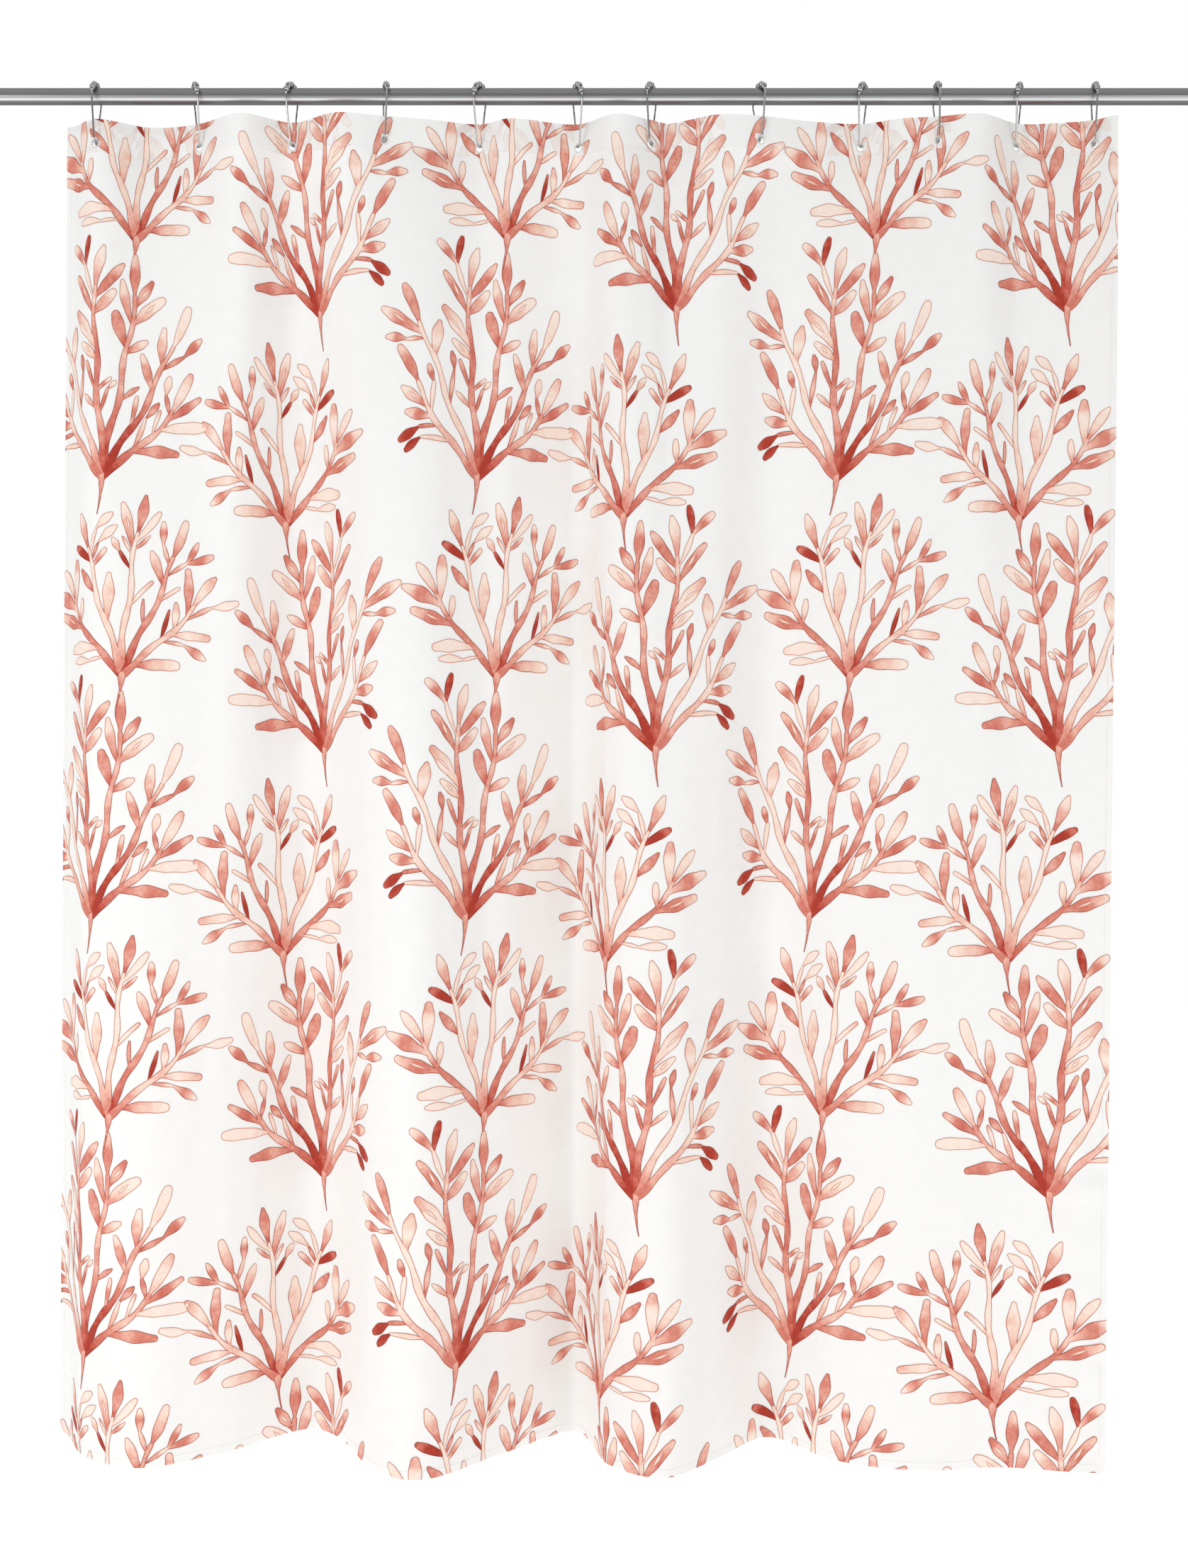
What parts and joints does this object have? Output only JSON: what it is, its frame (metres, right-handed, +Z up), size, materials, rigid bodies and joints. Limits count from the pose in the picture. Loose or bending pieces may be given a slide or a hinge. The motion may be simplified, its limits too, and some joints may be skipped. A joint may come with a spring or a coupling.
{
  "type": "shower curtain",
  "caption": "Coral-print cloth shower curtain hung by wire roller-ball hooks on a straight steel rod with screwed wall flanges.",
  "frame": {"origin": "middle of the left wall flange's back face, on the rod's axis", "axes": "+X along the rod from the left wall to the right one, -Y towards the room, +Z up"},
  "size_m": [1.829, 0.1736, 1.8911],
  "materials": {
    "rod_steel": "satin",
    "flange_steel": "satin",
    "grub_steel": "black oxide",
    "hook_wire": "polished",
    "roller_metal": "satin plated",
    "curtain_cloth": "smooth woven polyester",
    "hem_cloth": "smooth woven polyester",
    "stitching": "satin thread",
    "print_coral": "watercolour print, coral"
  },
  "bodies": {
    "rod": {"rod_tube": "rod_steel", "flange_left": "flange_steel", "flange_right": "flange_steel", "grub_screw_left": "grub_steel", "grub_screw_right": "grub_steel"},
    "curtain": {"curtain_panel": "curtain_cloth", "header_hem": "hem_cloth", "bottom_hem": "hem_cloth", "side_hem_left": "hem_cloth", "side_hem_right": "hem_cloth", "buttonhole_rims": "stitching"},
    "hook_01": {"hook_01_wire": "hook_wire", "hook_01_side_rollers": "roller_metal"},
    "roller_01": {"hook_01_top_roller": "roller_metal"},
    "hook_02": {"hook_02_wire": "hook_wire", "hook_02_side_rollers": "roller_metal"},
    "roller_02": {"hook_02_top_roller": "roller_metal"},
    "hook_03": {"hook_03_wire": "hook_wire", "hook_03_side_rollers": "roller_metal"},
    "roller_03": {"hook_03_top_roller": "roller_metal"},
    "hook_04": {"hook_04_wire": "hook_wire", "hook_04_side_rollers": "roller_metal"},
    "roller_04": {"hook_04_top_roller": "roller_metal"},
    "hook_05": {"hook_05_wire": "hook_wire", "hook_05_side_rollers": "roller_metal"},
    "roller_05": {"hook_05_top_roller": "roller_metal"},
    "hook_06": {"hook_06_wire": "hook_wire", "hook_06_side_rollers": "roller_metal"},
    "roller_06": {"hook_06_top_roller": "roller_metal"},
    "hook_07": {"hook_07_wire": "hook_wire", "hook_07_side_rollers": "roller_metal"},
    "roller_07": {"hook_07_top_roller": "roller_metal"},
    "hook_08": {"hook_08_wire": "hook_wire", "hook_08_side_rollers": "roller_metal"},
    "roller_08": {"hook_08_top_roller": "roller_metal"},
    "hook_09": {"hook_09_wire": "hook_wire", "hook_09_side_rollers": "roller_metal"},
    "roller_09": {"hook_09_top_roller": "roller_metal"},
    "hook_10": {"hook_10_wire": "hook_wire", "hook_10_side_rollers": "roller_metal"},
    "roller_10": {"hook_10_top_roller": "roller_metal"},
    "hook_11": {"hook_11_wire": "hook_wire", "hook_11_side_rollers": "roller_metal"},
    "roller_11": {"hook_11_top_roller": "roller_metal"},
    "hook_12": {"hook_12_wire": "hook_wire", "hook_12_side_rollers": "roller_metal"},
    "roller_12": {"hook_12_top_roller": "roller_metal"}
  },
  "joints": [
    {"name": "curtain_swing", "type": "hinge", "parent": "rod", "child": "curtain", "pos_m": [0, 0, 0], "axis": [1, 0, 0], "range_deg": [-20, 20]},
    {"name": "hook_01_slide", "type": "slide", "parent": "curtain", "child": "hook_01", "axis": [1, 0, 0], "range_m": [-0.0341, 0]},
    {"name": "roller_01_spin", "type": "hinge", "parent": "hook_01", "child": "roller_01", "pos_m": [0.234, 0.00014, 0.01535], "axis": [0.0349, 0.9994, -0.0088], "continuous": true},
    {"name": "hook_02_slide", "type": "slide", "parent": "curtain", "child": "hook_02", "axis": [1, 0, 0], "range_m": [-0.1293, 0]},
    {"name": "roller_02_spin", "type": "hinge", "parent": "hook_02", "child": "roller_02", "pos_m": [0.37, -0.00393, 0.01484], "axis": [-0.342, 0.9084, 0.2405], "continuous": true},
    {"name": "hook_03_slide", "type": "slide", "parent": "curtain", "child": "hook_03", "axis": [1, 0, 0], "range_m": [-0.221, 0]},
    {"name": "roller_03_spin", "type": "hinge", "parent": "hook_03", "child": "roller_03", "pos_m": [0.501, -0.00289, 0.01507], "axis": [0.2419, 0.9529, 0.1828], "continuous": true},
    {"name": "hook_04_slide", "type": "slide", "parent": "curtain", "child": "hook_04", "axis": [1, 0, 0], "range_m": [-0.3106, 0]},
    {"name": "roller_04_spin", "type": "hinge", "parent": "hook_04", "child": "roller_04", "pos_m": [0.629, 0.00249, 0.01515], "axis": [-0.2419, 0.9574, -0.1574], "continuous": true},
    {"name": "hook_05_slide", "type": "slide", "parent": "curtain", "child": "hook_05", "axis": [1, 0, 0], "range_m": [-0.4009, 0]},
    {"name": "roller_05_spin", "type": "hinge", "parent": "hook_05", "child": "roller_05", "pos_m": [0.758, -0.00426, 0.01475], "axis": [0.3746, 0.8907, 0.2576], "continuous": true},
    {"name": "hook_06_slide", "type": "slide", "parent": "curtain", "child": "hook_06", "axis": [1, 0, 0], "range_m": [-0.4947, 0]},
    {"name": "roller_06_spin", "type": "hinge", "parent": "hook_06", "child": "roller_06", "pos_m": [0.892, -0.00423, 0.01476], "axis": [-0.3256, 0.9088, 0.2608], "continuous": true},
    {"name": "hook_07_slide", "type": "slide", "parent": "curtain", "child": "hook_07", "axis": [1, 0, 0], "range_m": [-0.5654, 0]},
    {"name": "roller_07_spin", "type": "hinge", "parent": "hook_07", "child": "roller_07", "pos_m": [0.993, -0.00063, 0.01534], "axis": [0.342, 0.9389, 0.0383], "continuous": true},
    {"name": "hook_08_slide", "type": "slide", "parent": "curtain", "child": "hook_08", "axis": [1, 0, 0], "range_m": [-0.6683, 0]},
    {"name": "roller_08_spin", "type": "hinge", "parent": "hook_08", "child": "roller_08", "pos_m": [1.14, 0.00274, 0.0151], "axis": [-0.342, 0.9246, -0.1679], "continuous": true},
    {"name": "hook_09_slide", "type": "slide", "parent": "curtain", "child": "hook_09", "axis": [1, 0, 0], "range_m": [-0.7677, 0]},
    {"name": "roller_09_spin", "type": "hinge", "parent": "hook_09", "child": "roller_09", "pos_m": [1.282, -0.0038, 0.01487], "axis": [0.4067, 0.885, 0.2265], "continuous": true},
    {"name": "hook_10_slide", "type": "slide", "parent": "curtain", "child": "hook_10", "axis": [1, 0, 0], "range_m": [-0.8384, 0]},
    {"name": "roller_10_spin", "type": "hinge", "parent": "hook_10", "child": "roller_10", "pos_m": [1.383, 0.00203, 0.01521], "axis": [-0.0349, 0.9906, -0.1324], "continuous": true},
    {"name": "hook_11_slide", "type": "slide", "parent": "curtain", "child": "hook_11", "axis": [1, 0, 0], "range_m": [-0.9175, 0]},
    {"name": "roller_11_spin", "type": "hinge", "parent": "hook_11", "child": "roller_11", "pos_m": [1.496, -0.00345, 0.01496], "axis": [0.3584, 0.9097, 0.2097], "continuous": true},
    {"name": "curtain_draw", "type": "slide", "parent": "curtain", "child": "hook_12", "axis": [1, 0, 0], "range_m": [-0.9891, 0], "deforming": ["curtain_panel", "header_hem", "bottom_hem", "side_hem_left", "side_hem_right", "buttonhole_rims"]},
    {"name": "roller_12_spin", "type": "hinge", "parent": "hook_12", "child": "roller_12", "pos_m": [1.599, -0.00083, 0.01533], "axis": [0.0872, 0.9948, 0.0536], "continuous": true}
  ],
  "couplings": [
    {"joint": "hook_01_slide", "follows": "curtain_draw", "ratio": 0.03397},
    {"joint": "roller_01_spin", "follows": "curtain_draw", "rad_per_m": 7.9881},
    {"joint": "hook_02_slide", "follows": "curtain_draw", "ratio": 0.13022},
    {"joint": "roller_02_spin", "follows": "curtain_draw", "rad_per_m": 28.792},
    {"joint": "hook_03_slide", "follows": "curtain_draw", "ratio": 0.22293},
    {"joint": "roller_03_spin", "follows": "curtain_draw", "rad_per_m": 50.896},
    {"joint": "hook_04_slide", "follows": "curtain_draw", "ratio": 0.31352},
    {"joint": "roller_04_spin", "follows": "curtain_draw", "rad_per_m": 71.578},
    {"joint": "hook_05_slide", "follows": "curtain_draw", "ratio": 0.40481},
    {"joint": "roller_05_spin", "follows": "curtain_draw", "rad_per_m": 88.314},
    {"joint": "hook_06_slide", "follows": "curtain_draw", "ratio": 0.49965},
    {"joint": "roller_06_spin", "follows": "curtain_draw", "rad_per_m": 111.16},
    {"joint": "hook_07_slide", "follows": "curtain_draw", "ratio": 0.57112},
    {"joint": "roller_07_spin", "follows": "curtain_draw", "rad_per_m": 126.28},
    {"joint": "hook_08_slide", "follows": "curtain_draw", "ratio": 0.67516},
    {"joint": "roller_08_spin", "follows": "curtain_draw", "rad_per_m": 149.28},
    {"joint": "hook_09_slide", "follows": "curtain_draw", "ratio": 0.77565},
    {"joint": "roller_09_spin", "follows": "curtain_draw", "rad_per_m": 166.73},
    {"joint": "hook_10_slide", "follows": "curtain_draw", "ratio": 0.84713},
    {"joint": "roller_10_spin", "follows": "curtain_draw", "rad_per_m": 199.2},
    {"joint": "hook_11_slide", "follows": "curtain_draw", "ratio": 0.9271},
    {"joint": "roller_11_spin", "follows": "curtain_draw", "rad_per_m": 203.65},
    {"joint": "roller_12_spin", "follows": "curtain_draw", "rad_per_m": 234.4}
  ]
}
